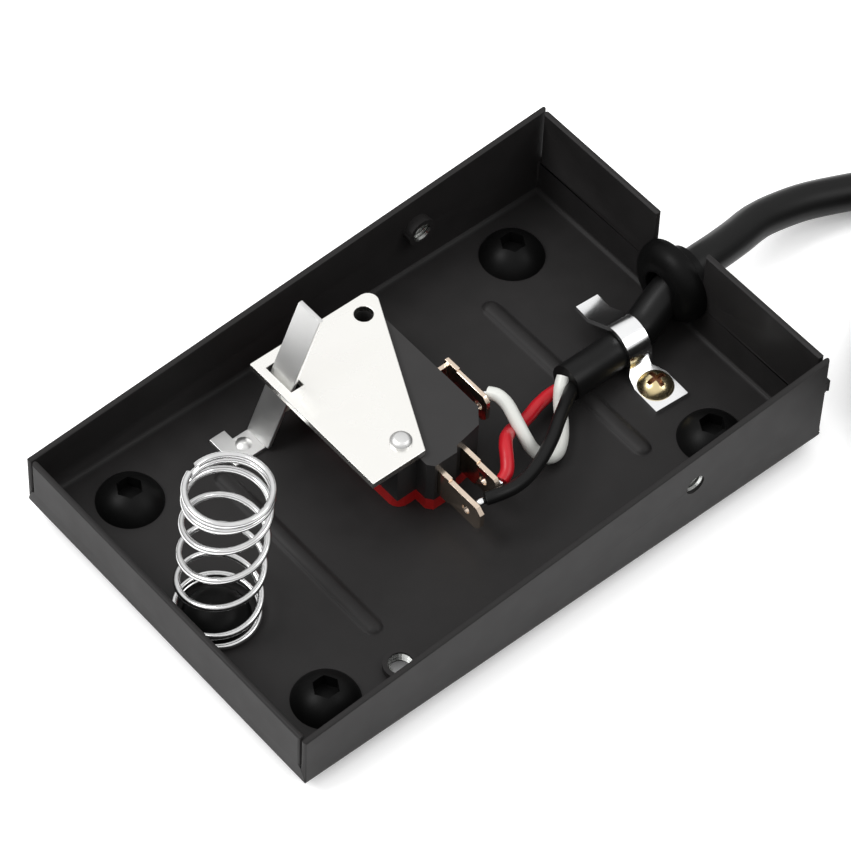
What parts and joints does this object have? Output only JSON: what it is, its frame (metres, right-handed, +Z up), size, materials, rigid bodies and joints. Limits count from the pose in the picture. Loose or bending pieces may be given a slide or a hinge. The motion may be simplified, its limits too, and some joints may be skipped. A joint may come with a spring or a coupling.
{
  "type": "foot switch base",
  "caption": "Open black sheet-steel foot switch tray with a snap-action switch, leaf actuator, return spring, rubber feet and a clamped three-core lead.",
  "frame": {"origin": "middle of the plane that the rubber feet stand on", "axes": "+X towards the end where the lead leaves, +Y towards the back long wall, +Z up"},
  "size_m": [0.1899, 0.1217, 0.0314],
  "materials": {
    "painted_steel": "semi-matte black paint",
    "rubber_black": "satin",
    "spring_wire": "bright drawn wire",
    "plastic_black": "satin",
    "plastic_red": "satin",
    "plastic_ivory": "satin",
    "terminal_brass": "polished",
    "blade_copper": "polished",
    "nickel_plate": "bright nickel plating",
    "zinc_plate": "bright zinc plating",
    "zinc_yellow": "yellow zinc plating",
    "pvc_black": "satin",
    "pvc_white": "satin",
    "pvc_red": "satin",
    "nylon_black": "satin"
  },
  "bodies": {
    "base": {"base_tray": "painted_steel", "foot_spring_back": "rubber_black", "foot_spring_front": "rubber_black", "foot_lead_back": "rubber_black", "foot_lead_front": "rubber_black", "spring_seat": "rubber_black", "spring_coils": "spring_wire", "switch_case": "plastic_black", "switch_cover": "plastic_red", "terminal_common": "terminal_brass", "terminal_closed": "terminal_brass", "terminal_open": "terminal_brass", "switch_plate": "nickel_plate", "switch_rivet": "nickel_plate", "leaf_foot": "zinc_plate", "leaf_rivet": "zinc_plate", "cable_clamp": "zinc_plate", "clamp_screw": "zinc_yellow", "cable_grommet": "rubber_black", "core_white": "pvc_white", "core_red": "pvc_red", "core_black": "pvc_black", "lead_tube": "pvc_black", "lead_coil": "pvc_black", "lead_tail": "pvc_black", "lead_tie": "nylon_black", "end_white": "pvc_white", "end_red": "pvc_red", "end_black": "pvc_black"},
    "leaf": {"leaf_blade": "zinc_plate"},
    "plunger": {"switch_plunger": "plastic_ivory"},
    "snap": {"snap_blade": "blade_copper"},
    "spring_head": {"spring_top": "spring_wire"}
  },
  "joints": [
    {"name": "leaf_flex", "type": "hinge", "parent": "base", "child": "leaf", "pos_m": [-0.0167, 0.0197, 0.00335], "axis": [0, 1, 0], "range_deg": [0, 3], "stiffness_Nm_per_rad": 0.6},
    {"name": "plunger_push", "type": "slide", "parent": "base", "child": "plunger", "axis": [1, 0, 0], "range_m": [0, 0.00027]},
    {"name": "snap_rock", "type": "hinge", "parent": "base", "child": "snap", "pos_m": [-0.0012, 0.0155, 0.0083], "axis": [0, 0, -1], "range_deg": [0, 3.8]},
    {"name": "spring_compress", "type": "slide", "parent": "base", "child": "spring_head", "axis": [0, 0, -1], "range_m": [0, 0.014], "stiffness_N_per_m": 1300, "deforming": ["spring_coils"]}
  ],
  "couplings": [
    {"joint": "plunger_push", "follows": "leaf_flex", "m_per_rad": 0.005},
    {"joint": "snap_rock", "follows": "leaf_flex", "ratio": 1.25}
  ]
}
